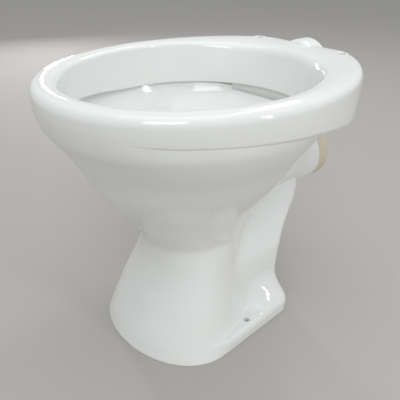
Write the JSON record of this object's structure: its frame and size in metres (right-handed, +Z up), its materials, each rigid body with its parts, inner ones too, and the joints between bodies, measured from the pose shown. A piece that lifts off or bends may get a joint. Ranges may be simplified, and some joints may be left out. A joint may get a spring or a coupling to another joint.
{
  "type": "washdown toilet pan",
  "caption": "Floor-standing washdown toilet pan in white glazed vitreous china, bare, with a horizontal rear outlet.",
  "frame": {"origin": "centre of the footprint box on the floor, under the middle of the pan's overall length", "axes": "+Y back towards the outlet, +X to the right seen from the front, +Z up"},
  "size_m": [0.362, 0.484, 0.397],
  "materials": {
    "glazed": "glossy"
  },
  "bodies": {
    "root": {"rim_ring": "glazed", "seat_deck": "glazed", "flush_inlet": "glazed", "bowl": "glazed", "trap": "glazed", "outlet_spigot": "glazed", "pedestal": "glazed", "rear_leg": "glazed", "foot_flange": "glazed"}
  },
  "joints": []
}
